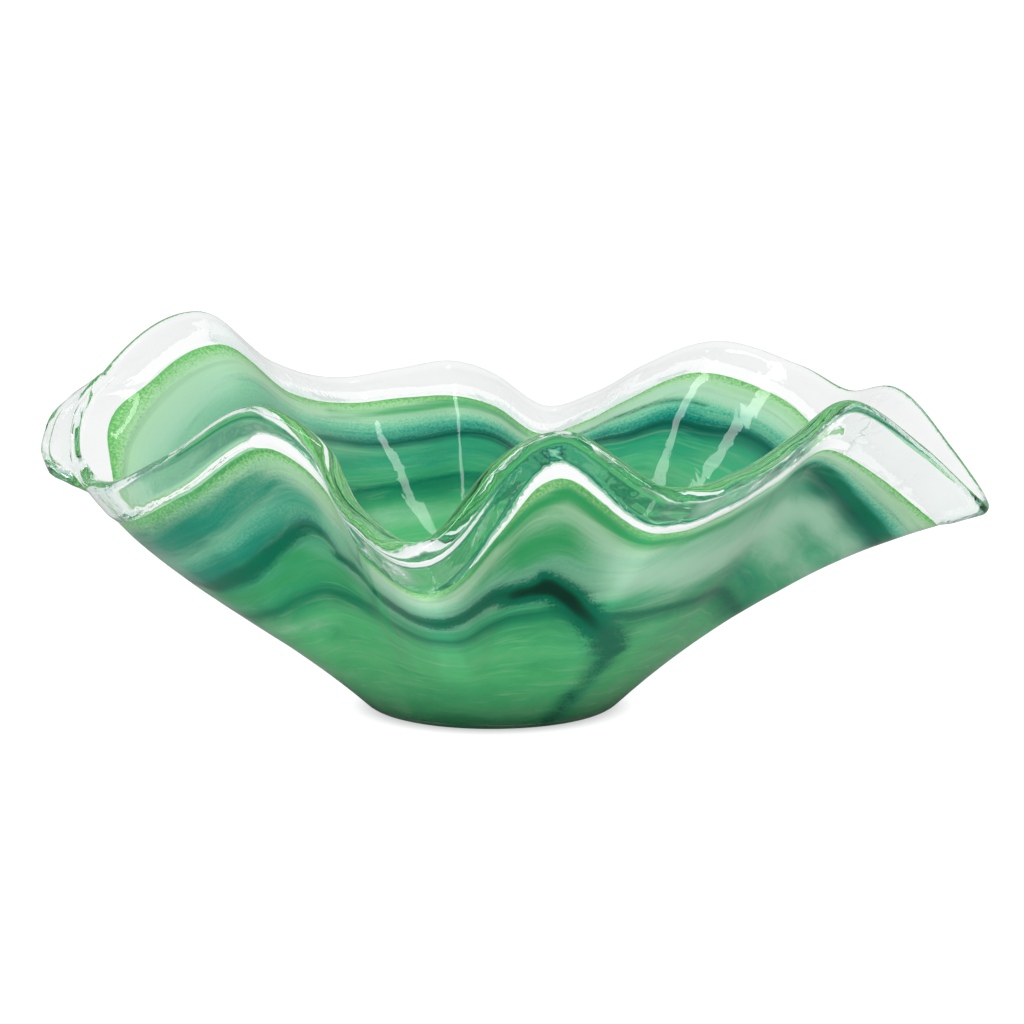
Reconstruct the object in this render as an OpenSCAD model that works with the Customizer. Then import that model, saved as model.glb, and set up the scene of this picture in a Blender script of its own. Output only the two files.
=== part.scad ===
// Ruffled art glass bowl, blown in layers: a clear inner gather, bands of coloured glass and a
// clear outer casing, fused into a clear rim at the top and ground flat on a punty pad below.
// Millimetres. +Z is up, and the origin is the middle of the ground face that the bowl stands on.

/* [Foot] */
// Radius of the ground flat face under the foot
foot_r = 46; // [42:1:50]
// Thickness of the clear pad of glass under the foot
pad_t = 3; // [2:0.5:4]
// Slope of the wall where it leaves the foot, in degrees
foot_slope = 43; // [40:1:46]

/* [Layers] */
// Thickness of the clear outer casing
casing_t = 1.6; // [1.2:0.1:2]
// Thickness of the coloured glass
colour_t = 1; // [0.6:0.1:1.2]
// Thickness of the clear inner gather in the wall
gather_t = 1.6; // [1.2:0.1:2]
// Thickness of the clear inner gather on the floor of the bowl
floor_t = 3; // [2:0.5:4]

/* [Rim] */
// Thickness of the fire-polished lip
lip_t = 7; // [5.5:0.5:8]
// Share of the wall's height that holds coloured glass, on average
colour_top = 0.87; // [0.86:0.01:0.89]
// Depth of the ruffles, 1 being as deep as they were pulled
ruffle = 1; // [0.6:0.05:1.1]

/* [Colours] */
// Share of the wall's height where the dark edge of the teal band lies, on average
teal_edge = 0.67; // [0.65:0.01:0.67]
// How far the bands tilt, as a share of the wall's height
band_tilt = 0.05; // [0.03:0.005:0.05]
// Bearing at which the tilted bands ride highest, in degrees
band_bearing = 40; // [0:5:60]

/* [Hidden] */

// Widest angle between the columns that the ruffled wall is drawn with, in degrees,
// and the steps round the lip and the foot's corner
column_step = 4.5;
lip_steps = 6;
corner_steps = 6;

// The rim as it was pulled, anticlockwise from +X: [bearing, reach from the axis, height,
// lean of the wall at the lip, share of the wall's height that the coloured glass reaches]
rim = [
    [6, 196, 105, 25, 0.855], [21, 188, 126, 45, 0.82], [31, 186, 121, 50, 0.875],
    [42, 187, 129, 40, 0.9], [54, 174, 138, 32, 0.885], [64, 166, 127, 28, 0.855],
    [73, 168, 112, 20, 0.85], [82, 166, 105, 18, 0.85], [90, 153, 121, 22, 0.85],
    [97, 147, 128, 28, 0.855], [107, 157, 124, 28, 0.88], [115, 164, 120, 25, 0.885],
    [130, 159, 131, 35, 0.88], [147, 157, 157, 45, 0.905], [160, 166, 147, 50, 0.905],
    [165, 172, 136, 48, 0.9], [169, 177, 125, 46, 0.89], [173, 177, 116, 46, 0.88],
    [177, 175, 108, 48, 0.87], [182, 171, 103, 52, 0.865], [187, 167, 99, 55, 0.865],
    [193, 164, 100, 54, 0.875], [199, 161, 102, 54, 0.885], [213, 151, 117, 60, 0.89],
    [230, 137, 139, 65, 0.895], [241, 133, 125, 62, 0.86], [252, 158, 105, 50, 0.815],
    [262, 167, 96, 45, 0.8], [271, 139, 121, 65, 0.8], [279, 130, 131.5, 76, 0.875],
    [285, 133.5, 131, 76, 0.885], [289, 147, 123, 64, 0.875], [292, 158.5, 116, 55, 0.865],
    [298, 163, 113, 48, 0.86], [306, 164, 118, 48, 0.865], [317, 162, 129, 55, 0.87],
    [330, 165, 138, 55, 0.88], [341, 181, 118, 38, 0.885], [352, 204, 89, 15, 0.885]
];
mean_reach = 165;
mean_height = 119;
mean_colour_top = 0.87;

// At one bearing the wall bulges out into a lobe: the bearing and the width in degrees, the
// bulge's depth, and the share of the wall's height above which it bulges
lobe_bearing = 172;
lobe_width = 8;
lobe_depth = 12;
lobe_low = 0.82;

wall_t = casing_t + colour_t + gather_t;
// Offsets of the layers' faces from the middle of the wall, outwards
face_outside = wall_t / 2;
face_casing = face_outside - casing_t;
face_colour = face_casing - colour_t;
face_inside = -wall_t / 2;

// The corner under the foot is an arc that ends at the wall's own slope, on the pad's top
corner_r = pad_t / (1 - cos(foot_slope));
pad_r = foot_r + corner_r * sin(foot_slope);
wall_foot_r = pad_r - face_outside / sin(foot_slope);

// How far the wall's curve runs straight on from the foot and into the lip, as shares of its chord
foot_pull = 0.3;
lip_pull = 0.36;

// ---- The ruffled middle surface of the wall ----

function ruffled(k) = [k[0], mean_reach + ruffle * (k[1] - mean_reach),
                       mean_height + ruffle * (k[2] - mean_height), k[3],
                       k[4] + colour_top - mean_colour_top];
function knot(i) = let (turn = floor(i / len(rim)))
  ruffled(rim[i - turn * len(rim)]) + [360 * turn, 0, 0, 0, 0];
function knot_before(bearing) =
  max([for (i = [-1 : len(rim) - 1]) if (knot(i)[0] <= bearing + 1e-9) i]);

// Slope of the rim at a knot, weighted towards its nearer neighbour
function rim_slope(i) =
  let (before = knot(i) - knot(i - 1), after = knot(i + 1) - knot(i))
  (before / before[0] * after[0] + after / after[0] * before[0]) / (before[0] + after[0]);

// The rim's values at any bearing from 0 to 360
function rim_at(bearing) =
  let (i = knot_before(bearing), a = knot(i), b = knot(i + 1), h = b[0] - a[0],
       x = (bearing - a[0]) / h)
  (2 * x ^ 3 - 3 * x ^ 2 + 1) * a + (x ^ 3 - 2 * x ^ 2 + x) * h * rim_slope(i)
  + (3 * x ^ 2 - 2 * x ^ 3) * b + (x ^ 3 - x ^ 2) * h * rim_slope(i + 1);

function heading(angle) = [cos(angle), sin(angle)];

// The wall's curve at one bearing, as four control points of [reach, height]
function wall_curve(bearing) =
  let (r = rim_at(bearing), foot = [wall_foot_r, pad_t], lip = [r[1], r[2]],
       chord = norm(lip - foot))
  [foot, foot + foot_pull * chord * heading(foot_slope),
   lip - lip_pull * chord * heading(r[3]), lip];

function on_curve(c, v) =
  (1 - v) ^ 3 * c[0] + 3 * (1 - v) ^ 2 * v * c[1] + 3 * (1 - v) * v ^ 2 * c[2] + v ^ 3 * c[3];
function lobe(bearing, v) = v <= lobe_low ? 0 :
  let (away = (bearing - lobe_bearing) / lobe_width, x = (v - lobe_low) / (1 - lobe_low))
  ruffle * lobe_depth * exp(-away ^ 2) * sin(90 * min(1, x)) ^ 2;
function middle(bearing, v) =
  let (p = on_curve(wall_curve(bearing), v), reach = p[0] + lobe(bearing, v))
  [reach * cos(bearing), reach * sin(bearing), p[1]];

// Outward unit normal of the middle surface, from its slopes round and up the wall
step = 0.5;
rise = 0.01;
function wrap(bearing) = (bearing % 360 + 360) % 360;
function outward(bearing, v) =
  let (round = middle(wrap(bearing + step), v) - middle(wrap(bearing - step), v),
       up = middle(bearing, v + rise) - middle(bearing, v - rise),
       n = cross(round, up))
  n / norm(n);

// ---- The layers' edges, as shares of the wall's height ----

jade_width = 0.13;
teal_width = 0.045;
lime_width = 0.035;
function teal_low(bearing) = teal_edge + band_tilt * cos(bearing - band_bearing);
function teal_high(bearing) = teal_low(bearing) + teal_width;
function jade_low(bearing) = teal_low(bearing) - jade_width;
function colour_edge(bearing) = rim_at(bearing)[4];
function lime_low(bearing) = colour_edge(bearing) - lime_width;

// Rows of the drawn wall: the foot, the green cup, and each band's upper edge
jade_row = 4;
teal_row = 6;
mint_row = 7;
lime_row = 9;
top_row = 10;
function row_heights(b) = concat(
  [for (i = [0 : jade_row]) jade_low(b) * i / jade_row],
  [(jade_low(b) + teal_low(b)) / 2, teal_low(b), teal_high(b),
   (teal_high(b) + lime_low(b)) / 2, lime_low(b), colour_edge(b)]);

// Columns stand on every crest, dip and fold of the rim, and evenly between them, closer
// together round the lobe
bearings = [for (i = [0 : len(rim) - 1])
  let (gap = knot(i + 1)[0] - knot(i)[0],
       n = ceil(gap / column_step * (abs(knot(i)[0] - lobe_bearing) < 2 * lobe_width ? 2 : 1)))
  for (s = [0 : n - 1]) wrap(knot(i)[0] + gap * s / n)];
columns = len(bearings);
heights = [for (b = bearings) row_heights(b)];
middles = [for (i = [0 : top_row]) [for (j = [0 : columns - 1]) middle(bearings[j], heights[j][i])]];
normals = [for (i = [1 : top_row]) [for (j = [0 : columns - 1]) outward(bearings[j], heights[j][i])]];

// A ring of points where the wall stands on the pad, raised by lift up the slope
function foot_ring(offset, lift = 0) =
  let (r = wall_foot_r + offset / sin(foot_slope) + lift / tan(foot_slope))
  [for (b = bearings) [r * cos(b), r * sin(b), pad_t + lift]];

// A row of points at an offset from the middle of the wall
function row(i, offset) = [for (j = [0 : columns - 1]) middles[i][j] + offset * normals[i - 1][j]];
function rows(from, to, offset) = [for (i = [from : to]) row(i, offset)];
function reversed(list) = [for (i = [len(list) - 1 : -1 : 0]) list[i]];

// ---- The lip: a half circle over the end of the wall, with its crown on the rim ----

lip_r = lip_t / 2;
shoulders = 3;

// The height share at which the lip's half circle begins
function lip_start(b) = 1 - lip_r / norm(wall_curve(b)[3] - wall_curve(b)[0]);
function lip_ring(angle) = [for (b = bearings)
  let (v = 1 - (1 - lip_start(b)) * (1 - sin(angle)))
  middle(b, v) + lip_r * cos(angle) * outward(b, v)];
// Rings from the colour's edge, number 0, to the lip, on the outside at side 1 and inside at -1
function shoulder_ring(s, side) = [for (b = bearings)
  let (x = s / (shoulders + 1), v = colour_edge(b) * (1 - x) + lip_start(b) * x,
       thick = wall_t + (lip_t - wall_t) * min(1, 2 * x))
  middle(b, v) + side * thick / 2 * outward(b, v)];

// ---- Solids drawn from rings of points ----

function strip(i, k) = [for (j = [0 : columns - 1]) let (n = (j + 1) % columns)
  each [[i * columns + j, k * columns + j, k * columns + n],
        [i * columns + j, k * columns + n, i * columns + n]]];

// A closed band: rings follow its section from the outer lower edge up, over and back down
module hoop(rings) {
  last = len(rings) - 1;
  polyhedron([for (ring = rings) each ring],
             [for (i = [0 : last]) each strip(i, (i + 1) % (last + 1))], convexity = 10);
}

// A cup: the rings run from its underside up the outside, over the edge and down the inside,
// and both ends close on the axis
module cup(rings) {
  last = len(rings) - 1;
  under = (last + 1) * columns;
  polyhedron(concat([for (ring = rings) each ring], [[0, 0, rings[0][0].z], [0, 0, rings[last][0].z]]),
             concat([for (i = [0 : last - 1]) each strip(i, i + 1)],
                    [for (j = [0 : columns - 1]) [under, j, (j + 1) % columns]],
                    [for (j = [0 : columns - 1])
                       [under + 1, last * columns + (j + 1) % columns, last * columns + j]]),
             convexity = 10);
}

module band(from, to)
  hoop(concat(rows(from, to, face_casing), reversed(rows(from, to, face_colour))));

// ---- The pieces ----

// The pad of clear glass that held the punty, cut off and ground flat
module punty_pad() color("mintcream")
  rotate_extrude($fn = 96)
    polygon(concat([[0, 0]],
                   [for (s = [0 : corner_steps]) let (a = foot_slope * s / corner_steps)
                      [foot_r + corner_r * sin(a), corner_r * (1 - cos(a))]],
                   [[0, pad_t]]));

// The last gather of clear glass, over the colour
module outer_casing() color("honeydew")
  hoop(concat([foot_ring(face_outside)], rows(1, top_row, face_outside),
              reversed(rows(1, top_row, face_casing)), [foot_ring(face_casing)]));

// The first gather, inside the colour: the bowl's lining and its floor
module inner_gather() color("azure")
  cup(concat([foot_ring(face_colour, colour_t)], rows(1, top_row, face_colour),
             reversed(rows(1, top_row, face_inside)), [foot_ring(face_inside, colour_t + floor_t)]));

// Clear glass above the colour, thickening into a round fire-polished lip
module clear_rim() color("whitesmoke")
  hoop(concat(
    [row(top_row, face_outside)],
    [for (s = [1 : shoulders]) shoulder_ring(s, 1)],
    [for (s = [0 : lip_steps]) lip_ring(180 * s / lip_steps)],
    [for (s = [shoulders : -1 : 1]) shoulder_ring(s, -1)],
    [row(top_row, face_inside), row(top_row, face_colour), row(top_row, face_casing)]));

module lime_band() color("yellowgreen") band(lime_row, top_row);
module mint_band() color("aquamarine") band(mint_row, lime_row);
module teal_band() color("teal") band(teal_row, mint_row);
module jade_band() color("mediumaquamarine") band(jade_row, teal_row);

// The green field, from the jade band down over the floor
module green_cup() color("mediumseagreen")
  cup(concat([foot_ring(face_casing)], rows(1, jade_row, face_casing),
             reversed(rows(1, jade_row, face_colour)), [foot_ring(face_colour, colour_t)]));

punty_pad();
outer_casing();
inner_gather();
clear_rim();
lime_band();
mint_band();
teal_band();
jade_band();
green_cup();
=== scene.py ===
import math

import bmesh
import bpy
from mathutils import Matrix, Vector, noise


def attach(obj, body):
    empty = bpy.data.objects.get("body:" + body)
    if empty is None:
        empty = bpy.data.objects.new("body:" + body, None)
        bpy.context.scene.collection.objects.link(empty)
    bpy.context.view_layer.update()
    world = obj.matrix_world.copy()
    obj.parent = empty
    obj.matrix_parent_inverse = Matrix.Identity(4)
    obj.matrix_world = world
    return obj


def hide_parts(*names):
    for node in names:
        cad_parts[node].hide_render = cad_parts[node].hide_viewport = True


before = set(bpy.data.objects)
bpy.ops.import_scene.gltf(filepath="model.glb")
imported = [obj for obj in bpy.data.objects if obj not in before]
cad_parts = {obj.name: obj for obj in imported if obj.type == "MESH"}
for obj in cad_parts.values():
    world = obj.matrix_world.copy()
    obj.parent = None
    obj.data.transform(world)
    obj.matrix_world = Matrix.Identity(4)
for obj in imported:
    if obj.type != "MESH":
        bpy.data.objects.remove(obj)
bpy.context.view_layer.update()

MM = 0.001
scene = bpy.context.scene

# ------------------------------------------------------------------ the studio corner
# The bowl stands on a white table that sweeps up behind it. One long strip lamp hangs over the
# table and runs towards the camera, and the room round them is pale.

CAMERA_DISTANCE = 1.35
CAMERA_TILT = math.radians(9)
CAMERA_SHIFT = (8.4 * MM, 80.8 * MM)
VIEW_WIDTH = 431 * MM
SENSOR = 36

ahead = Vector((0, math.cos(CAMERA_TILT), -math.sin(CAMERA_TILT)))
sideways = Vector((1, 0, 0))
upwards = sideways.cross(ahead)
camera_data = bpy.data.cameras.new("camera")
camera_data.sensor_width = SENSOR
camera_data.lens = SENSOR * CAMERA_DISTANCE / VIEW_WIDTH
camera = bpy.data.objects.new("camera", camera_data)
scene.collection.objects.link(camera)
camera.location = sideways * CAMERA_SHIFT[0] + upwards * CAMERA_SHIFT[1] - ahead * CAMERA_DISTANCE
camera.rotation_euler = (math.pi / 2 - CAMERA_TILT, 0, 0)
scene.camera = camera
scene.view_settings.view_transform = "Standard"

TABLE_HALF = 4.5
SWEEP_RADIUS = 2.0
SWEEP_STEPS = 16

bpy.ops.object.select_all(action="DESELECT")
bpy.ops.mesh.primitive_plane_add(size=2 * TABLE_HALF, location=(0, 0, 0))
table = bpy.context.object
table.name = "table"
bpy.ops.object.mode_set(mode="EDIT")
bpy.ops.mesh.select_mode(type="EDGE")
bpy.ops.mesh.select_all(action="DESELECT")
table_mesh = bmesh.from_edit_mesh(table.data)
for edge in table_mesh.edges:
    edge.select_set(all(v.co.y > TABLE_HALF / 2 for v in edge.verts))
bmesh.update_edit_mesh(table.data)
bpy.ops.mesh.spin(steps=SWEEP_STEPS, angle=math.pi / 2, center=(0, TABLE_HALF, SWEEP_RADIUS),
                  axis=(1, 0, 0))
bpy.ops.object.mode_set(mode="OBJECT")
bpy.ops.object.shade_smooth()



def math_node(tree, operation, first, second=0.0, clamp=False):
    """One operation on two numbers or sockets, in a material's or the world's node tree."""
    node = tree.nodes.new("ShaderNodeMath")
    node.operation = operation
    node.use_clamp = clamp
    for socket, value in zip(node.inputs, (first, second)):
        if isinstance(value, (int, float)):
            socket.default_value = value
        else:
            tree.links.new(value, socket)
    return node.outputs[0]


def ranged(tree, value, start, end, low=0.0, high=1.0, smooth=True):
    """A value carried from one range to another and held at the ends of it."""
    node = tree.nodes.new("ShaderNodeMapRange")
    if smooth:
        node.interpolation_type = "SMOOTHSTEP"
    node.inputs["From Min"].default_value = start
    node.inputs["From Max"].default_value = end
    node.inputs["To Min"].default_value = low
    node.inputs["To Max"].default_value = high
    tree.links.new(value, node.inputs["Value"])
    return node.outputs["Result"]


def mix_amounts(tree, share, under, over):
    """One amount turning into another, each a number or a socket."""
    node = tree.nodes.new("ShaderNodeMix")
    tree.links.new(share, node.inputs[0])
    for socket, value in ((node.inputs[2], under), (node.inputs[3], over)):
        if isinstance(value, (int, float)):
            socket.default_value = value
        else:
            tree.links.new(value, socket)
    return node.outputs[0]


# The paper glows, with a painted shadow: its glow is dim under the bowl, and clears with the distance from
# the bowl's middle, in metres
PAPER_GREY = 0.22
SHADE_START = 0.046
LIT_GLOW = (0.10, 0.83)
LIT_CLEAR = 0.09
SEEN_GLOW = (0.55, 1.0)
SEEN_CLEAR = 0.062
NEAR_SIDE = 2.2
NEAR_SIDE_FULL = -0.3
GLARE = 0.2

paper = bpy.data.materials.new("white_paper")
paper.use_nodes = True
paper_tree = paper.node_tree
paper_shader = paper_tree.nodes["Principled BSDF"]
paper_shader.inputs["Base Color"].default_value = (PAPER_GREY, PAPER_GREY, PAPER_GREY, 1)
paper_shader.inputs["Roughness"].default_value = 0.9
paper_shader.inputs["Specular IOR Level"].default_value = 0.1
paper_shader.inputs["Emission Color"].default_value = (1, 1, 1, 1)
paper_place = paper_tree.nodes.new("ShaderNodeTexCoord")
from_foot = paper_tree.nodes.new("ShaderNodeVectorMath")
from_foot.operation = "LENGTH"
paper_tree.links.new(paper_place.outputs["Object"], from_foot.inputs[0])
paper_parts = paper_tree.nodes.new("ShaderNodeSeparateXYZ")
paper_tree.links.new(paper_place.outputs["Object"], paper_parts.inputs[0])
light_path = paper_tree.nodes.new("ShaderNodeLightPath")

# The paper's glow lights matt surfaces more from the near side, and where the glass mirrors the
# paper its glow is painted dimmer, as a filter would show it, which keeps the dark colours clear of haze.
# A ray through the glass may be marked as mirrored as well, so it is taken off.
near_side = ranged(paper_tree, paper_parts.outputs["Y"], 0.0, NEAR_SIDE_FULL, 1.0, NEAR_SIDE)
near_light = mix_amounts(paper_tree, light_path.outputs["Diffuse Depth"], 1.0, near_side)
# For the light on the bowl and its reflections, the glow is a painted shadow under the bowl
lit_glow = ranged(paper_tree, from_foot.outputs["Value"], SHADE_START, LIT_CLEAR, *LIT_GLOW)
lit_paper = math_node(paper_tree, "MULTIPLY", lit_glow, near_light)
mirrored = math_node(paper_tree, "SUBTRACT", light_path.outputs["Is Glossy Ray"],
                     light_path.outputs["Is Transmission Ray"])
without_glare = ranged(paper_tree, mirrored, 0.0, 1.0, 1.0, GLARE, smooth=False)
glow_dimmed_in_reflection = math_node(paper_tree, "MULTIPLY", lit_paper, without_glare)
# The camera sees the paper evenly white but for a faint painted shadow round the foot
seen_paper = ranged(paper_tree, from_foot.outputs["Value"], SHADE_START, SEEN_CLEAR, *SEEN_GLOW)
paper_light = mix_amounts(paper_tree, light_path.outputs["Is Camera Ray"], glow_dimmed_in_reflection, seen_paper)
paper_tree.links.new(paper_light, paper_shader.inputs["Emission Strength"])
table.data.materials.append(paper)

# The room is a little darker overhead. It looks white by itself and nearly white through the clear
# glass, and lights matt surfaces less than it looks.
ROOM_LOW = 0.5
ROOM_HIGH = 0.38
ROOM_BEHIND = 0.88
ROOM_HORIZON = 0.15
ROOM_CEILING = 0.75
world = bpy.data.worlds.new("pale_room")
scene.world = world
world.use_nodes = True
room_tree = world.node_tree
room_place = room_tree.nodes.new("ShaderNodeTexCoord")
room_height = room_tree.nodes.new("ShaderNodeSeparateXYZ")
room_tree.links.new(room_place.outputs["Generated"], room_height.inputs["Vector"])
room_path = room_tree.nodes.new("ShaderNodeLightPath")
room_light = ranged(room_tree, room_height.outputs["Z"], ROOM_HORIZON, ROOM_CEILING, ROOM_LOW, ROOM_HIGH)
looking_through = math_node(room_tree, "SUBTRACT", room_path.outputs["Is Transmission Ray"],
                            room_path.outputs["Diffuse Depth"], True)
through_glass = mix_amounts(room_tree, looking_through, room_light, ROOM_BEHIND)
room_seen = mix_amounts(room_tree, room_path.outputs["Is Camera Ray"], through_glass, 1.0)
room_tree.nodes["Background"].inputs["Color"].default_value = (1, 1, 1, 1)
room_tree.links.new(room_seen, room_tree.nodes["Background"].inputs["Strength"])


def hang_lamp(name, place, aim, width, depth, power):
    """A soft rectangular lamp at a place, facing a point, its depth running towards the camera."""
    lamp_data = bpy.data.lights.new(name, "AREA")
    lamp_data.shape = "RECTANGLE"
    lamp_data.size = width
    lamp_data.size_y = depth
    lamp_data.energy = power
    lamp = bpy.data.objects.new(name, lamp_data)
    scene.collection.objects.link(lamp)
    lamp.location = place
    lamp.rotation_euler = (Vector(place) - Vector(aim)).to_track_quat("Z", "Y").to_euler()


STRIP_PLACE = (-0.02, -0.45, 1.25)
STRIP_AIM = (-0.02, -0.1, 0.1)
hang_lamp("strip_lamp", STRIP_PLACE, STRIP_AIM, width=0.17, depth=1.1, power=8)

# Light goes in and out of the clear glass many times before it leaves the thick lip
GLASS_BOUNCES = 28
scene.cycles.max_bounces = GLASS_BOUNCES
scene.cycles.transmission_bounces = GLASS_BOUNCES
scene.cycles.glossy_bounces = GLASS_BOUNCES
scene.cycles.transparent_max_bounces = GLASS_BOUNCES

# ------------------------------------------------------------------ the clear glass
# Three gathers of clear glass hold the colour: the first inside it, the last outside it, and the
# pad under the foot that took the punty. Heat fused them into one body and into the clear rim
# above the colour, whose lip was fire polished round. The wall was ruffled while it was soft.

# Bearing round the rim in degrees from +X, reach from the axis and height in millimetres,
# lean of the wall at the lip in degrees, and the share of the wall's height that colour reaches
RIM = [
    (6, 196, 105, 25, 0.855), (21, 188, 126, 45, 0.82), (31, 186, 121, 50, 0.875),
    (42, 187, 129, 40, 0.9), (54, 174, 138, 32, 0.885), (64, 166, 127, 28, 0.855),
    (73, 168, 112, 20, 0.85), (82, 166, 105, 18, 0.85), (90, 153, 121, 22, 0.85),
    (97, 147, 128, 28, 0.855), (107, 157, 124, 28, 0.88), (115, 164, 120, 25, 0.885),
    (130, 159, 131, 35, 0.88), (147, 157, 157, 45, 0.905), (160, 166, 147, 50, 0.905),
    (165, 172, 136, 48, 0.9), (169, 177, 125, 46, 0.89), (173, 177, 116, 46, 0.88),
    (177, 175, 108, 48, 0.87), (182, 171, 103, 52, 0.865), (187, 167, 99, 55, 0.865),
    (193, 164, 100, 54, 0.875), (199, 161, 102, 54, 0.885), (213, 151, 117, 60, 0.89),
    (230, 137, 139, 65, 0.895), (241, 133, 125, 62, 0.86), (252, 158, 105, 50, 0.815),
    (262, 167, 96, 45, 0.8), (271, 139, 121, 65, 0.8), (279, 130, 131.5, 76, 0.875),
    (285, 133.5, 131, 76, 0.885), (289, 147, 123, 64, 0.875), (292, 158.5, 116, 55, 0.865),
    (298, 163, 113, 48, 0.86), (306, 164, 118, 48, 0.865), (317, 162, 129, 55, 0.87),
    (330, 165, 138, 55, 0.88), (341, 181, 118, 38, 0.885), (352, 204, 89, 15, 0.885),
]
FOOT_RADIUS = 46
PAD_THICK = 3
FOOT_SLOPE = math.radians(43)
CASING_THICK = 1.6
COLOUR_THICK = 1.0
GATHER_THICK = 1.6
FLOOR_THICK = 3
LIP_THICK = 7
FOOT_PULL = 0.3
LIP_PULL = 0.36
WALL_THICK = CASING_THICK + COLOUR_THICK + GATHER_THICK
OUTSIDE = WALL_THICK / 2
UNDER_CASING = OUTSIDE - CASING_THICK
OVER_GATHER = UNDER_CASING - COLOUR_THICK
INSIDE = -WALL_THICK / 2

corner_radius = PAD_THICK / (1 - math.cos(FOOT_SLOPE))
pad_radius = FOOT_RADIUS + corner_radius * math.sin(FOOT_SLOPE)
wall_foot = pad_radius - OUTSIDE / math.sin(FOOT_SLOPE)
knots = [[k[0] - 360, *k[1:]] for k in RIM[-2:]] + [list(k) for k in RIM]
knots += [[k[0] + 360, *k[1:]] for k in RIM[:2]]


def knot_slope(i):
    """How fast the rim's values change at a knot, weighted towards its nearer neighbour."""
    back = knots[i][0] - knots[i - 1][0]
    on = knots[i + 1][0] - knots[i][0]
    return [((b - a) / back * on + (c - b) / on * back) / (back + on)
            for a, b, c in zip(knots[i - 1], knots[i], knots[i + 1])]


def rim_at(bearing):
    """Reach, height, lean and colour's share at a bearing, on a smooth curve through the knots."""
    bearing %= 360
    i = max(n for n in range(1, len(knots) - 2) if knots[n][0] <= bearing)
    width = knots[i + 1][0] - knots[i][0]
    x = (bearing - knots[i][0]) / width
    here = 2 * x ** 3 - 3 * x ** 2 + 1
    leaving = (x ** 3 - 2 * x ** 2 + x) * width
    arriving = (x ** 3 - x ** 2) * width
    return [here * a + leaving * da + (1 - here) * b + arriving * db
            for a, da, b, db in zip(knots[i], knot_slope(i), knots[i + 1], knot_slope(i + 1))][1:]


wall_curves = {}


def wall_curve(bearing):
    """The four control points, reach and height, of the wall's curve at a bearing."""
    key = round(bearing % 360, 4)
    if key not in wall_curves:
        reach, height, lean, top = rim_at(bearing)
        lean = math.radians(lean)
        chord = math.hypot(reach - wall_foot, height - PAD_THICK)
        wall_curves[key] = (
            (wall_foot, PAD_THICK),
            (wall_foot + FOOT_PULL * chord * math.cos(FOOT_SLOPE),
             PAD_THICK + FOOT_PULL * chord * math.sin(FOOT_SLOPE)),
            (reach - LIP_PULL * chord * math.cos(lean), height - LIP_PULL * chord * math.sin(lean)),
            (reach, height), chord, top)
    return wall_curves[key]


# At the bowl's -X end the lip is rolled back over a bulge of the wall: its bearing and width in
# degrees, its depth in millimetres, and the share of the wall's height where it starts
CURL_BEARING = 172
CURL_WIDTH = 8
CURL_DEPTH = 20
CURL_LOW = 0.87


def curl_at(bearing, share):
    """How far the wall bulges out under the rolled lip."""
    if share <= CURL_LOW:
        return 0
    away = ((bearing - CURL_BEARING + 180) % 360 - 180) / CURL_WIDTH
    rise = math.sin(math.pi * (share - CURL_LOW) / (1 - CURL_LOW))
    return CURL_DEPTH * math.exp(-away ** 4) * rise ** 2


def middle(bearing, share):
    """A point on the middle surface of the wall, at a share of the way up it."""
    curve = wall_curve(bearing)
    weights = ((1 - share) ** 3, 3 * (1 - share) ** 2 * share, 3 * (1 - share) * share ** 2, share ** 3)
    reach = sum(w * p[0] for w, p in zip(weights, curve)) + curl_at(bearing, share)
    height = sum(w * p[1] for w, p in zip(weights, curve))
    turn = math.radians(bearing)
    return Vector((reach * math.cos(turn), reach * math.sin(turn), height))


def outward(bearing, share):
    """The outward unit normal of the middle surface."""
    step = 0.4
    rise = 0.006
    around = middle(bearing + step, share) - middle(bearing - step, share)
    up = middle(bearing, share + rise) - middle(bearing, share - rise)
    return around.cross(up).normalized()


LONG_WAVE = 34
LONG_WAVE_DEPTH = 0.5
SHORT_WAVE = 15
SHORT_WAVE_DEPTH = 0.16
EVEN_BELOW = 0.08


def on_wall(bearing, share, offset):
    """A point of the wall at an offset from its middle, with the slight unevenness of hand work,
    which fades out towards the foot."""
    place = middle(bearing, share)
    wave = noise.noise(place / LONG_WAVE) * LONG_WAVE_DEPTH
    wave += noise.noise(place / SHORT_WAVE + Vector((7, 3, 1))) * SHORT_WAVE_DEPTH
    grip = min(1, max(0, (share - EVEN_BELOW) / 0.25))
    return place + outward(bearing, share) * (offset + wave * grip)


def colour_edge(bearing):
    return wall_curve(bearing)[5]


COLUMNS = 360
BLEND_TOP = 0.16


def floor_rows(bearing, offset, floor_height, steps):
    """The rounded foot of one face of a layer, from its flat floor up to the wall's own curve."""
    top = on_wall(bearing, BLEND_TOP, offset)
    lower = on_wall(bearing, BLEND_TOP - 0.02, offset)
    turn = math.radians(bearing)
    reach = math.hypot(top.x, top.y)
    slope = (top.z - lower.z) / (reach - math.hypot(lower.x, lower.y))
    corner = reach - (top.z - floor_height) / slope
    start = max(2 * corner - reach, 0.35 * corner)
    rows = []
    for s in range(steps):
        x = s / steps
        r = (1 - x) ** 2 * start + 2 * (1 - x) * x * corner + x ** 2 * reach
        z = (1 - x ** 2) * floor_height + x ** 2 * top.z
        rows.append(Vector((r * math.cos(turn), r * math.sin(turn), z)))
    return rows


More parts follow.
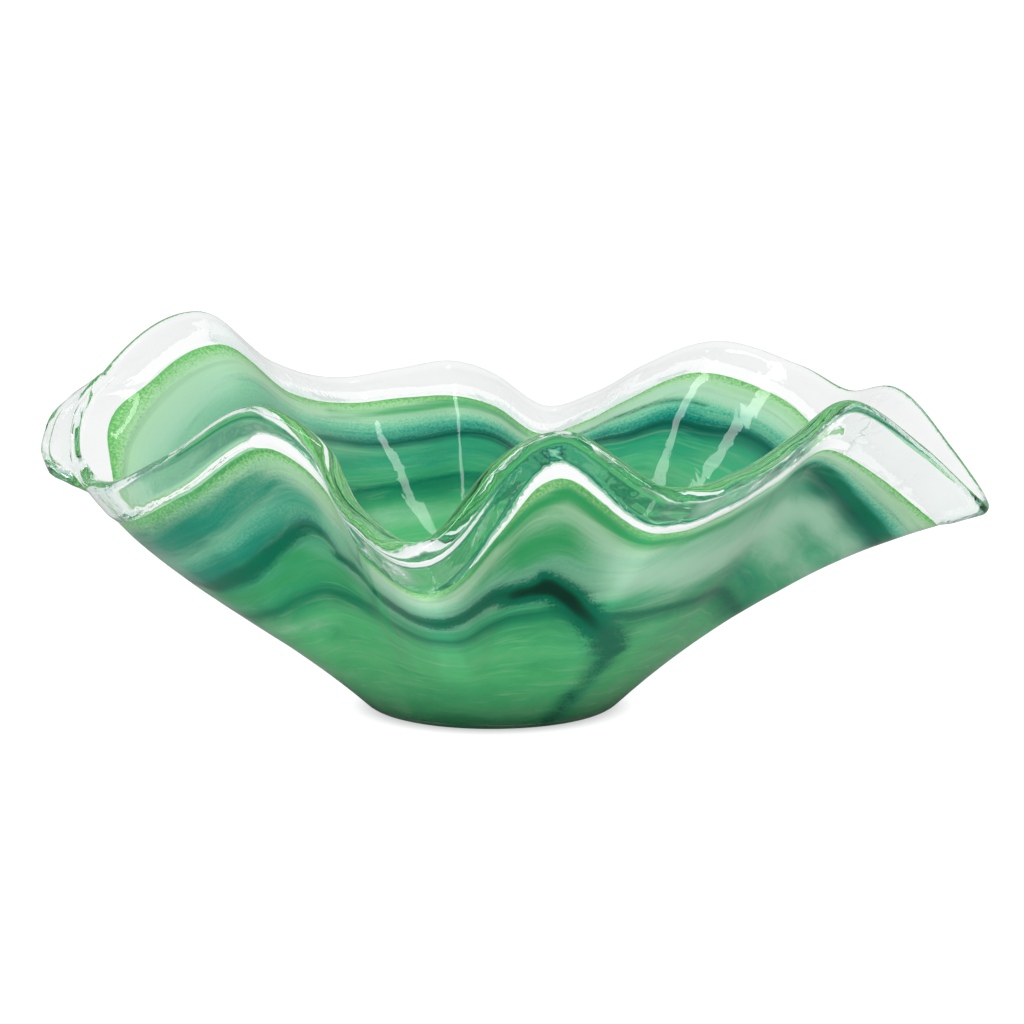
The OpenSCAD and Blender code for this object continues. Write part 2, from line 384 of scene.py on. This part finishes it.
def roll_up(name, column, shares):
    """A closed body of revolution, ruffled: a flat sheet of squares whose every column is bent to
    the points that column() gives at its bearing, and whose two sides are then joined."""
    rows = len(shares)
    bpy.ops.object.select_all(action="DESELECT")
    bpy.ops.mesh.primitive_grid_add(x_subdivisions=COLUMNS, y_subdivisions=rows - 1, size=2,
                                    calc_uvs=True, location=(0, 0, 0))
    piece = bpy.context.object
    piece.name = name
    piece.data.name = name
    places = {}
    for n, vertex in enumerate(piece.data.vertices):
        i = round((vertex.co.x + 1) / 2 * COLUMNS)
        k = round((vertex.co.y + 1) / 2 * (rows - 1))
        places[n] = (i, k)
    bent = [column(360 * i / COLUMNS) for i in range(COLUMNS)]
    uv = piece.data.uv_layers[0]
    uv.name = "wall"
    for loop in piece.data.loops:
        i, k = places[loop.vertex_index]
        uv.data[loop.index].uv = (i / COLUMNS, shares[k])
    for n, (i, k) in places.items():
        piece.data.vertices[n].co = bent[i % COLUMNS][k] * MM
    bpy.ops.object.mode_set(mode="EDIT")
    bpy.ops.mesh.select_all(action="SELECT")
    bpy.ops.mesh.remove_doubles(threshold=1e-7)
    bpy.ops.mesh.normals_make_consistent(inside=False)
    bpy.ops.object.mode_set(mode="OBJECT")
    bpy.ops.object.shade_smooth_by_angle(angle=math.radians(50))
    return piece


WALL_ROWS = 84
LIP_ROWS = 14
CORNER_ROWS = 6
FLOOR_ROWS = 8
FLOOR_REACH = 0.06
FOOT_ROWS = 4
LIP_LEAST = 0.8
LIP_UNEVEN = 0.1
FOLD_EXTRA = 0.4
FOLD_BEARING = 255
FOLD_WIDTH = 55
THIN_SHARE = 0.85
THIN_BEARING = 256
THIN_WIDTH = 13
SWELL_RISE = 0.035
BEAD_START = 0.93
BEAD_RISE = 0.05


def wall_thickness(bearing, share):
    """Half the wall's thickness: even over the colour, and thicker above it, most where the wall
    was gathered into tight folds on the near side. In the lowest fold it is drawn thin again, and
    only the lip itself is a thick bead."""
    turn = math.radians(bearing)
    uneven = noise.noise(Vector((math.cos(turn), math.sin(turn), 0)) * 4)
    rim = LIP_THICK * (LIP_LEAST + LIP_UNEVEN * uneven)
    rim += LIP_THICK * FOLD_EXTRA * math.exp(-((bearing - FOLD_BEARING) / FOLD_WIDTH) ** 2)
    drawn_thin = THIN_SHARE * math.exp(-((bearing - THIN_BEARING) / THIN_WIDTH) ** 4)
    swell = min(1, max(0, (share - colour_edge(bearing)) / SWELL_RISE))
    bead = min(1, max(0, (share - BEAD_START) / BEAD_RISE))
    rise = (1 - drawn_thin) * swell ** 2 * (3 - 2 * swell) + drawn_thin * bead ** 2 * (3 - 2 * bead)
    return WALL_THICK / 2 + (rim - WALL_THICK) / 2 * rise


def glass_column(bearing):
    """The section of the clear glass: under the foot, up the outside, over the lip, down the
    inside and over the floor."""
    turn = math.radians(bearing)
    facing = Vector((math.cos(turn), math.sin(turn), 0))
    points = [facing * FOOT_RADIUS * n / FOOT_ROWS for n in range(FOOT_ROWS)]
    for n in range(CORNER_ROWS):
        bend = FOOT_SLOPE * n / CORNER_ROWS
        points.append(facing * (FOOT_RADIUS + corner_radius * math.sin(bend))
                      + Vector((0, 0, corner_radius * (1 - math.cos(bend)))))
    lip_share = 1 - LIP_THICK / 2 / wall_curve(bearing)[4]
    points.append(facing * pad_radius + Vector((0, 0, PAD_THICK)))
    for n in range(1, WALL_ROWS):
        share = lip_share * n / WALL_ROWS
        points.append(on_wall(bearing, share, wall_thickness(bearing, share)))
    half = wall_thickness(bearing, lip_share)
    for n in range(LIP_ROWS + 1):
        bend = math.pi * n / LIP_ROWS
        share = lip_share + (1 - lip_share) * math.sin(bend)
        points.append(on_wall(bearing, share, half * math.cos(bend)))
    inner_shares = [lip_share - (lip_share - BLEND_TOP) * n / WALL_ROWS for n in range(1, WALL_ROWS + 1)]
    for share in inner_shares:
        points.append(on_wall(bearing, share, -wall_thickness(bearing, share)))
    floor_height = PAD_THICK + COLOUR_THICK + FLOOR_THICK
    floor = floor_rows(bearing, INSIDE, floor_height, FLOOR_ROWS)
    points += reversed(floor)
    points.append(floor[0] * 0.5 + Vector((0, 0, floor_height * 0.5)))
    points.append(Vector((0, 0, floor_height)))
    return points


row_count = len(glass_column(0))
clear_glass = roll_up("clear_glass", glass_column, [n / row_count for n in range(row_count)])

glass = bpy.data.materials.new("clear_glass")
glass.use_nodes = True
tree = glass.node_tree
shader = tree.nodes["Principled BSDF"]
shader.inputs["Base Color"].default_value = (1, 1, 1, 1)
shader.inputs["Roughness"].default_value = 0.0
shader.inputs["IOR"].default_value = 1.5
shader.inputs["Transmission Weight"].default_value = 1.0
shader.inputs["Specular Tint"].default_value = (0.35, 0.35, 0.35, 1)
lights_pass = tree.nodes.new("ShaderNodeBsdfTransparent")
path = tree.nodes.new("ShaderNodeLightPath")
# Lamps shine straight through the clear glass, so it throws no hard shadow on the colour
mix = tree.nodes.new("ShaderNodeMixShader")
tree.links.new(path.outputs["Is Shadow Ray"], mix.inputs["Fac"])
tree.links.new(shader.outputs["BSDF"], mix.inputs[1])
tree.links.new(lights_pass.outputs["BSDF"], mix.inputs[2])
output = tree.nodes["Material Output"]
tree.links.new(mix.outputs["Shader"], output.inputs["Surface"])
# Cords, the faint ripples where streams of glass ran together
cord_place = tree.nodes.new("ShaderNodeTexCoord")
cords = tree.nodes.new("ShaderNodeTexNoise")
cords.inputs["Scale"].default_value = 55
cords.inputs["Detail"].default_value = 2
cords.inputs["Distortion"].default_value = 1.5
ripple = tree.nodes.new("ShaderNodeBump")
ripple.inputs["Strength"].default_value = 0.25
ripple.inputs["Distance"].default_value = 0.0009
tree.links.new(cord_place.outputs["Object"], cords.inputs["Vector"])
tree.links.new(cords.outputs["Fac"], ripple.inputs["Height"])
tree.links.new(ripple.outputs["Normal"], shader.inputs["Normal"])
tint = tree.nodes.new("ShaderNodeVolumeAbsorption")
tint.inputs["Color"].default_value = (0.62, 0.82, 0.75, 1)
tint.inputs["Density"].default_value = 18.0
tree.links.new(tint.outputs["Volume"], output.inputs["Volume"])
clear_glass.data.materials.append(glass)
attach(clear_glass, "root")
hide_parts("punty_pad", "outer_casing", "inner_gather", "clear_rim")

# ------------------------------------------------------------------ the coloured glass
# Crushed and powdered coloured glass, rolled onto the first gather in rings and sealed under the
# last. From the rim down: a lime edge, pale mint, a granular teal band with a dark lower edge,
# jade, and the green cup that runs down under the floor.

TEAL_EDGE = 0.67
BAND_TILT = 0.05
BAND_BEARING = 40
JADE_WIDTH = 0.13
TEAL_WIDTH = 0.045
LIME_WIDTH = 0.035


def teal_low(bearing):
    return TEAL_EDGE + BAND_TILT * math.cos(math.radians(bearing - BAND_BEARING))


def teal_high(bearing):
    return teal_low(bearing) + TEAL_WIDTH


def jade_low(bearing):
    return teal_low(bearing) - JADE_WIDTH


def lime_low(bearing):
    return colour_edge(bearing) - LIME_WIDTH


# Where the two dark trails lie: bearing, share of the wall's height at the lower trail and at the
# upper one, and how strong the upper one is. The upper trail breaks off over the front right side.
TRAILS = [
    (0, 0.39, 0.745, 1), (20, 0.45, 0.76, 1), (42, 0.51, 0.775, 0.9), (50, 0.53, 0.74, 1),
    (60, 0.56, 0.715, 1), (72, 0.58, 0.745, 1), (90, 0.603, 0.735, 1), (110, 0.60, 0.725, 0.9),
    (125, 0.58, 0.745, 0.7), (138, 0.56, 0.73, 0.3), (165, 0.53, 0.69, 0.2), (185, 0.50, 0.64, 0.5),
    (200, 0.48, 0.61, 1), (212, 0.485, 0.615, 0.9), (222, 0.495, 0.64, 0.9), (233, 0.50, 0.695, 0.8),
    (239, 0.50, 0.62, 0.35), (245, 0.515, 0.635, 0.2), (252, 0.53, 0.665, 0.2), (260, 0.545, 0.665, 0.3),
    (266, 0.515, 0.61, 0.35), (272, 0.50, 0.57, 0.35), (280, 0.495, 0.56, 0.35), (287, 0.51, 0.575, 0.3),
    (294, 0.545, 0.66, 0), (304, 0.51, 0.79, 0), (314, 0.49, 0.835, 0.15), (325, 0.465, 0.845, 0.6),
    (335, 0.44, 0.82, 1), (345, 0.41, 0.79, 1), (352, 0.375, 0.76, 1), (360, 0.39, 0.745, 1),
]
LOWER_TRAIL = 0.4
UPPER_TRAIL = 0.6


def trails_at(bearing):
    """The lower trail's share, the upper trail's share and its strength, at a bearing."""
    i = max(n for n in range(len(TRAILS) - 1) if TRAILS[n][0] <= bearing % 360)
    here, on = TRAILS[i], TRAILS[i + 1]
    x = (bearing % 360 - here[0]) / (on[0] - here[0])
    x = x * x * (3 - 2 * x)
    return [a + (b - a) * x for a, b in zip(here[1:], on[1:])]


def trail_height(bearing, share):
    """Height among the bands: 0 at the foot, 1 at the colour's top edge, fixed at each trail."""
    lower, upper = trails_at(bearing)[:2]
    if share < lower:
        return LOWER_TRAIL * share / lower
    if share < upper:
        return LOWER_TRAIL + (UPPER_TRAIL - LOWER_TRAIL) * (share - lower) / (upper - lower)
    return UPPER_TRAIL + (1 - UPPER_TRAIL) * (share - upper) / (colour_edge(bearing) - upper)


# Smears of powder and chips, each drawn out along a path: bearing, share of the wall's height,
# half width in millimetres and strength. On the near right side the pale smears are also a painted
# reflection of the bright studio.
PALE_SMEARS_AND_REFLECTION = [
    [(286, 0.80, 8, 0.3), (296, 0.70, 12, 0.8), (310, 0.66, 14, 0.95), (326, 0.66, 13, 0.8),
     (338, 0.63, 8, 0.4)],
    [(240, 0.76, 4, 0.3), (248, 0.755, 6, 0.9), (256, 0.75, 6, 0.8), (264, 0.72, 4, 0.2)],
    [(150, 0.82, 8, 0.7), (165, 0.80, 8, 0.8), (180, 0.76, 6, 0.4)],
    [(20, 0.84, 3, 0.6), (60, 0.83, 4, 0.8), (78, 0.81, 4, 0.6)],
    [(206, 0.855, 2, 0.3), (222, 0.865, 2.5, 0.4), (236, 0.85, 3, 0.4)],
    [(198, 0.40, 5, 0.2), (212, 0.41, 6, 0.4), (228, 0.39, 5, 0.2)],
    [(300, 0.56, 8, 0.2), (314, 0.60, 11, 0.5), (328, 0.69, 11, 0.75), (338, 0.73, 9, 0.8),
     (347, 0.70, 8, 0.7), (356, 0.67, 7, 0.5)],
    [(330, 0.60, 7, 0.4), (340, 0.60, 10, 0.6), (352, 0.58, 9, 0.5)],
    [(95, 0.50, 5, 0.2), (118, 0.50, 6, 0.4), (135, 0.48, 5, 0.2)],
]
TEAL_SMEARS = [
    [(182, 0.77, 11, 0.7), (196, 0.79, 14, 0.9), (210, 0.80, 14, 0.92), (224, 0.805, 12, 0.8),
     (234, 0.77, 7, 0.5)],
    [(198, 0.66, 5, 0.8), (214, 0.67, 5, 0.9), (226, 0.70, 4, 0.6)],
    [(310, 0.56, 4, 0.2), (324, 0.55, 6, 0.45), (334, 0.52, 6, 0.5), (348, 0.46, 7, 0.4),
     (366, 0.46, 6, 0.3)],
    [(85, 0.68, 4, 0.4), (104, 0.665, 6, 0.6), (130, 0.67, 5, 0.4)],
    [(48, 0.66, 4, 0.3), (62, 0.66, 5, 0.4), (76, 0.67, 4, 0.3)],
    [(150, 0.70, 5, 0.4), (162, 0.67, 6, 0.5), (178, 0.65, 5, 0.4)],
    [(288, 0.42, 6, 0.2), (300, 0.36, 9, 0.5), (303, 0.22, 9, 0.5), (302, 0.08, 8, 0.4)],
    [(306, 0.40, 7, 0.2), (322, 0.37, 8, 0.35), (340, 0.33, 8, 0.3)],
]
GREEN_SMEARS = [
    [(262, 0.775, 3, 0.5), (272, 0.78, 4, 0.9), (284, 0.85, 5, 1.0), (293, 0.83, 5, 0.9),
     (310, 0.815, 4, 0.8), (326, 0.82, 3, 0.3)],
    [(212, 0.66, 3, 0.3), (226, 0.60, 5, 0.7), (240, 0.57, 5, 0.5)],
    [(266, 0.69, 6, 0.3), (276, 0.70, 12, 0.92), (284, 0.725, 12, 0.88)],
    [(84, 0.825, 3, 0.5), (100, 0.83, 4, 0.8), (122, 0.845, 3, 0.5)],
    [(190, 0.58, 5, 0.5), (206, 0.55, 6, 0.7), (222, 0.56, 6, 0.7), (236, 0.54, 5, 0.4)],
]
DARK_SMEARS = [
    [(273, 0.555, 4, 0.4), (277, 0.565, 6, 0.9), (283, 0.572, 8, 1.0), (287, 0.555, 9, 1.0),
     (291, 0.52, 8.5, 0.85), (295, 0.465, 9, 0.7), (299, 0.41, 10, 0.6), (303, 0.355, 9, 0.55),
     (302, 0.30, 10, 0.35), (300, 0.22, 11, 0.25), (298, 0.14, 10, 0.3), (296, 0.04, 11, 0.4)],
    [(280.5, 0.615, 2.5, 0.4), (282, 0.58, 4, 0.8)],
    [(296, 0.54, 2, 0.3), (306, 0.505, 2, 0.35), (320, 0.48, 2.2, 0.4), (335, 0.45, 2.4, 0.5),
     (350, 0.40, 2.2, 0.5)],
    [(86, 0.607, 1.6, 0.35), (106, 0.602, 1.6, 0.45), (124, 0.585, 1.5, 0.3)],
    [(50, 0.80, 1.4, 0.3), (62, 0.795, 1.5, 0.4), (74, 0.80, 1.4, 0.3)],
    [(200, 0.615, 4, 0.45), (214, 0.62, 5, 0.6), (224, 0.65, 4.4, 0.55), (234, 0.69, 2.4, 0.35)],
    [(320, 0.852, 1.2, 0.2), (328, 0.842, 1.5, 0.45), (336, 0.822, 2.2, 0.65), (346, 0.792, 2.6, 0.72),
     (356, 0.76, 2.6, 0.6), (372, 0.75, 2, 0.4)],
    [(236, 0.63, 3, 0.45), (244, 0.635, 4.4, 0.66), (252, 0.655, 5, 0.74), (260, 0.65, 5.4, 0.76),
     (266, 0.62, 5, 0.74), (275, 0.575, 5, 0.75)],
]

# A degree of bearing and the whole height of the wall, in millimetres along the glass
DEGREE = 2.3
SHARE = 185


def smeared(smears, bearing, share):
    """How much of some smears lies at a place, each fading out from its path."""
    clear = 1
    for path in smears:
        most = 0
        for (b0, s0, w0, k0), (b1, s1, w1, k1) in zip(path, path[1:]):
            x = ((bearing - b0 + 180) % 360 - 180) * DEGREE
            y = (share - s0) * SHARE
            across, up = (b1 - b0) * DEGREE, (s1 - s0) * SHARE
            along = min(1, max(0, (x * across + y * up) / (across ** 2 + up ** 2)))
            away = math.hypot(x - along * across, y - along * up) / (w0 + (w1 - w0) * along)
            most = max(most, (k0 + (k1 - k0) * along) * math.exp(-away ** 2))
        clear *= 1 - most
    return 1 - clear


def dye(red, green, blue):
    """A shader colour from the shade as it looks, each part from 0 to 255."""
    return tuple(((c / 255 + 0.055) / 1.055) ** 2.4 for c in (red, green, blue)) + (1,)


# The colours by height among the bands, from the floor to the top edge
BAND_COLOURS = [
    (0.0, dye(40, 138, 98)), (0.025, dye(56, 158, 110)), (0.09, dye(82, 184, 124)),
    (0.20, dye(92, 196, 130)), (0.34, dye(96, 200, 136)), (0.385, dye(48, 160, 112)),
    (0.415, dye(54, 168, 118)), (0.50, dye(80, 188, 138)), (0.56, dye(44, 168, 126)),
    (0.59, dye(10, 134, 108)), (0.63, dye(6, 134, 118)), (0.68, dye(38, 162, 140)),
    (0.75, dye(116, 204, 172)), (0.83, dye(188, 224, 196)), (0.93, dye(188, 224, 188)),
    (0.975, dye(150, 210, 138)), (1.0, dye(100, 190, 100)),
]
PALE_MINT = dye(184, 222, 197)
DEEP_TEAL = dye(0, 60, 44)
LINE_TEAL = dye(0, 122, 92)
CLOUDY_TEAL = dye(24, 150, 124)
SOFT_GREEN = dye(62, 172, 108)


def coloured_glass(name):
    """Streaky cased colour: the bands by their height, drawn out along the bowl, with patches."""
    material = bpy.data.materials.new(name)
    material.use_nodes = True
    tree = material.node_tree
    nodes = tree.nodes
    links = tree.links
    shader = nodes["Principled BSDF"]

    def sum_of(operation, first, second=0.0, clamp=False):
        """One operation on two numbers or sockets, in this material."""
        return math_node(tree, operation, first, second, clamp)

    def mix_colours(amount, under, over):
        node = nodes.new("ShaderNodeMix")
        node.data_type = "RGBA"
        for socket, value in ((node.inputs[0], amount), (node.inputs[6], under), (node.inputs[7], over)):
            if isinstance(value, (int, float, tuple)):
                socket.default_value = value
            else:
                links.new(value, socket)
        return node.outputs[2]

    def streaks(place, scale, detail, roughness, distortion):
        node = nodes.new("ShaderNodeTexNoise")
        node.inputs["Scale"].default_value = scale
        node.inputs["Detail"].default_value = detail
        node.inputs["Roughness"].default_value = roughness
        node.inputs["Distortion"].default_value = distortion
        links.new(place, node.inputs["Vector"])
        return node.outputs["Fac"]

    uv = nodes.new("ShaderNodeUVMap")
    uv.uv_map = "trail"
    split = nodes.new("ShaderNodeSeparateXYZ")
    links.new(uv.outputs["UV"], split.inputs["Vector"])
    turn = sum_of("MULTIPLY", split.outputs["X"], 2 * math.pi)
    height = split.outputs["Y"]

    on_piece = nodes.new("ShaderNodeTexCoord")
    across_piece = nodes.new("ShaderNodeSeparateXYZ")
    links.new(on_piece.outputs["Object"], across_piece.inputs["Vector"])
    reach_squared = sum_of("ADD", sum_of("POWER", across_piece.outputs["X"], 2),
                              sum_of("POWER", across_piece.outputs["Y"], 2))
    from_middle = sum_of("DIVIDE", sum_of("SQRT", reach_squared), FLOOR_REACH, True)

    def drawn_out(around, across):
        """A seamless place for noise, long round the bowl and short up the wall."""
        place = nodes.new("ShaderNodeCombineXYZ")
        spread = sum_of("MULTIPLY", from_middle, around)
        links.new(sum_of("MULTIPLY", sum_of("COSINE", turn), spread), place.inputs["X"])
        links.new(sum_of("MULTIPLY", sum_of("SINE", turn), spread), place.inputs["Y"])
        links.new(sum_of("MULTIPLY", height, across), place.inputs["Z"])
        return place.outputs["Vector"]

    smears = nodes.new("ShaderNodeAttribute")
    smears.attribute_name = "smears"
    smear_parts = nodes.new("ShaderNodeSeparateColor")
    links.new(smears.outputs["Color"], smear_parts.inputs["Color"])
    green_smears = nodes.new("ShaderNodeAttribute")
    green_smears.attribute_name = "green_smears"

    # The bands wander a little as they were trailed on by hand
    wander = streaks(drawn_out(1.8, 3.0), 1.0, 3, 0.5, 0.2)
    wandering = sum_of("MULTIPLY_ADD", wander, 0.05)
    wandering.node.inputs[2].default_value = -0.025
    band_height = sum_of("ADD", height, wandering)

    # Powder scatters into grains on the upper side of the teal
    grain_place = nodes.new("ShaderNodeTexCoord")
    grains = streaks(grain_place.outputs["Object"], 1000, 3, 0.7, 0)
    scatter = ranged(tree, band_height, 0.59, 0.66, 0.0, 0.22)
    grain_shift = sum_of("MULTIPLY", sum_of("SUBTRACT", grains, 0.5), scatter)
    ramp = nodes.new("ShaderNodeValToRGB")
    stops = ramp.color_ramp.elements
    stops[0].position, stops[0].color = BAND_COLOURS[0]
    stops[1].position, stops[1].color = BAND_COLOURS[-1]
    for position, colour in BAND_COLOURS[1:-1]:
        stop = stops.new(position)
        stop.color = colour
    links.new(sum_of("ADD", band_height, grain_shift), ramp.inputs["Fac"])

    # Where the upper trail breaks off, the jade below runs up into the mint
    plain = mix_colours(0.55, dye(110, 192, 150), PALE_MINT)
    near_trail = ranged(tree, height, 0.47, 0.56)
    past_teal = ranged(tree, height, 0.74, 0.86, 1.0, 0.0)
    gap = sum_of("SUBTRACT", 1, smear_parts.outputs["Blue"])
    gap = sum_of("MULTIPLY", sum_of("MULTIPLY", gap, near_trail), past_teal)
    colour = mix_colours(gap, ramp.outputs["Color"], plain)

    # Long soft streaks, lighter and darker
    long_streaks = streaks(drawn_out(2.2, 15), 1.0, 6, 0.6, 0.5)
    lighter = ranged(tree, long_streaks, 0.5, 0.75, 0.0, 0.45, smooth=False)
    colour = mix_colours(lighter, colour, dye(150, 208, 160))
    darker = ranged(tree, long_streaks, 0.48, 0.28, 0.0, 0.35, smooth=False)
    colour = mix_colours(darker, colour, dye(24, 132, 92))
    threads = ranged(tree, streaks(drawn_out(3, 70), 1.0, 3, 0.6, 0.4), 0.56, 0.72, 0.0, 0.2, smooth=False)
    colour = mix_colours(threads, colour, dye(206, 236, 206))

    # The two dark trails lie over the streaks, each sharper on its lower side
    def trail_line(at, below, above, low, high):
        """How strong a trail is by height: fading in over one width and out over another."""
        line = nodes.new("ShaderNodeValToRGB")
        line_stops = line.color_ramp.elements
        line_stops[0].position, line_stops[0].color = at - below, (0, 0, 0, 1)
        line_stops[1].position, line_stops[1].color = at + above, (0, 0, 0, 1)
        for place, level in ((at - 0.3 * below, low), (at, high), (at + 0.4 * above, low)):
            line_stops.new(place).color = (level, level, level, 1)
        links.new(sum_of("ADD", band_height, sum_of("MULTIPLY", grain_shift, 0.7)),
                  line.inputs["Fac"])
        return line.outputs["Color"]

    lower_line = trail_line(LOWER_TRAIL, 0.03, 0.03, 0.4, 0.75)
    colour = mix_colours(lower_line, colour, LINE_TEAL)
    upper_line = sum_of("MULTIPLY", trail_line(UPPER_TRAIL, 0.03, 0.05, 0.55, 1.0),
                           smear_parts.outputs["Blue"])
    colour = mix_colours(upper_line, colour, dye(0, 92, 78))

    # The smears, torn into streaks at their edges and grainy where they are dark
    tear = streaks(drawn_out(5, 30), 1.0, 4, 0.6, 0.6)
    torn = sum_of("MULTIPLY", sum_of("SUBTRACT", tear, 0.5), 0.8)
    speckle = sum_of("MULTIPLY", sum_of("SUBTRACT", grains, 0.5), 0.9)

    def smear_amount(part, low, high, grainy=0.0):
        edge = sum_of("MULTIPLY", sum_of("MULTIPLY", part, sum_of("SUBTRACT", 1, part)), 4)
        uneven = sum_of("ADD", torn, sum_of("MULTIPLY", speckle, grainy))
        return ranged(tree, sum_of("ADD", part, sum_of("MULTIPLY", uneven, edge)), low, high)

    colour = mix_colours(smear_amount(smears.outputs["Alpha"], 0.0, 1.0, 0.5), colour, CLOUDY_TEAL)
    # Pale powder, and on the near right side a painted reflection of the bright studio
    colour = mix_colours(smear_amount(smear_parts.outputs["Red"], 0.0, 1.0), colour, PALE_MINT)
    colour = mix_colours(smear_amount(green_smears.outputs["Fac"], 0.0, 1.0), colour, SOFT_GREEN)
    dark = smear_parts.outputs["Green"]
    inky = mix_colours(ranged(tree, dark, 0.6, 0.95), LINE_TEAL, DEEP_TEAL)
    colour = mix_colours(smear_amount(dark, 0.0, 0.5, 1.0), colour, inky)
    links.new(colour, shader.inputs["Base Color"])
    shader.inputs["Roughness"].default_value = 0.6
    shader.inputs["Specular IOR Level"].default_value = 0.0
    return material


def band_column(low, high, steps):
    def column(bearing):
        start = low(bearing)
        end = high(bearing)
        shares = [start + (end - start) * n / steps for n in range(steps + 1)]
        points = [on_wall(bearing, share, UNDER_CASING) for share in shares]
        points += [on_wall(bearing, share, OVER_GATHER) for share in reversed(shares)]
        return points + points[:1]
    return column


def lay_colour(piece, share_of_row):
    """Gives a coloured piece its place among the trails, its smears of powder and the painted reflection
    laid on among the pale smears.
    """
    piece.data.uv_layers.new(name="trail")
    piece.data.attributes.new("smears", "FLOAT_COLOR", "CORNER")
    piece.data.attributes.new("green_smears", "FLOAT", "CORNER")
    wall = piece.data.uv_layers["wall"]
    trail = piece.data.uv_layers["trail"]
    smears = piece.data.attributes["smears"]
    green_smears = piece.data.attributes["green_smears"]
    known = {}
    for loop in piece.data.loops:
        u, k = wall.data[loop.index].uv
        key = (round(u * COLUMNS), round(k, 5))
        if key not in known:
            bearing = 360 * u
            share = share_of_row(bearing, k)
            known[key] = (share, trail_height(bearing, share),
                          (smeared(PALE_SMEARS_AND_REFLECTION, bearing, share), smeared(DARK_SMEARS, bearing, share),
                           trails_at(bearing)[2], smeared(TEAL_SMEARS, bearing, share)),
                          smeared(GREEN_SMEARS, bearing, share))
        share, height, amounts, green = known[key]
        wall.data[loop.index].uv = (u, share)
        trail.data[loop.index].uv = (u, height)
        smears.data[loop.index].color = amounts
        green_smears.data[loop.index].value = green


def make_band(node, low, high, steps):
    rows = 2 * (steps + 1) + 1
    piece = roll_up(node + "_glass", band_column(low, high, steps), [n / (rows - 1) for n in range(rows)])

    def share(bearing, k):
        n = round(k * (rows - 1))
        n = 0 if n == rows - 1 else n
        n = n if n <= steps else 2 * steps + 1 - n
        return low(bearing) + (high(bearing) - low(bearing)) * n / steps
    lay_colour(piece, share)
    piece.data.materials.append(coloured_glass(node))
    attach(piece, "root")
    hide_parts(node)


make_band("lime_band", lime_low, colour_edge, 4)
make_band("mint_band", teal_high, lime_low, 8)
make_band("teal_band", teal_low, teal_high, 5)
make_band("jade_band", jade_low, teal_low, 10)

CUP_ROWS = 30
CUP_LOW = 0.9


def cup_shares(bearing):
    top = jade_low(bearing)
    return [BLEND_TOP + (top - BLEND_TOP) * n / CUP_ROWS for n in range(CUP_ROWS + 1)]


def cup_column(bearing):
    under = floor_rows(bearing, UNDER_CASING, CUP_LOW, FLOOR_ROWS)
    over = floor_rows(bearing, OVER_GATHER, PAD_THICK + COLOUR_THICK, FLOOR_ROWS)
    points = [Vector((0, 0, CUP_LOW)), under[0] * 0.5 + Vector((0, 0, CUP_LOW * 0.5))] + under
    points += [on_wall(bearing, share, UNDER_CASING) for share in cup_shares(bearing)]
    points += [on_wall(bearing, share, OVER_GATHER) for share in reversed(cup_shares(bearing))]
    points += list(reversed(over))
    points += [over[0] * 0.5 + Vector((0, 0, (PAD_THICK + COLOUR_THICK) * 0.5)),
               Vector((0, 0, PAD_THICK + COLOUR_THICK))]
    return points


def cup_share(bearing, k):
    floor_shares = [0, 0] + [BLEND_TOP * n / FLOOR_ROWS for n in range(FLOOR_ROWS)]
    half = floor_shares + cup_shares(bearing)
    whole = half + list(reversed(half))
    return whole[round(k * (len(whole) - 1))]


cup_rows = len(cup_column(0))
green_cup = roll_up("green_cup_glass", cup_column, [n / (cup_rows - 1) for n in range(cup_rows)])
lay_colour(green_cup, cup_share)
green_cup.data.materials.append(coloured_glass("green_cup"))
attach(green_cup, "root")
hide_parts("green_cup")
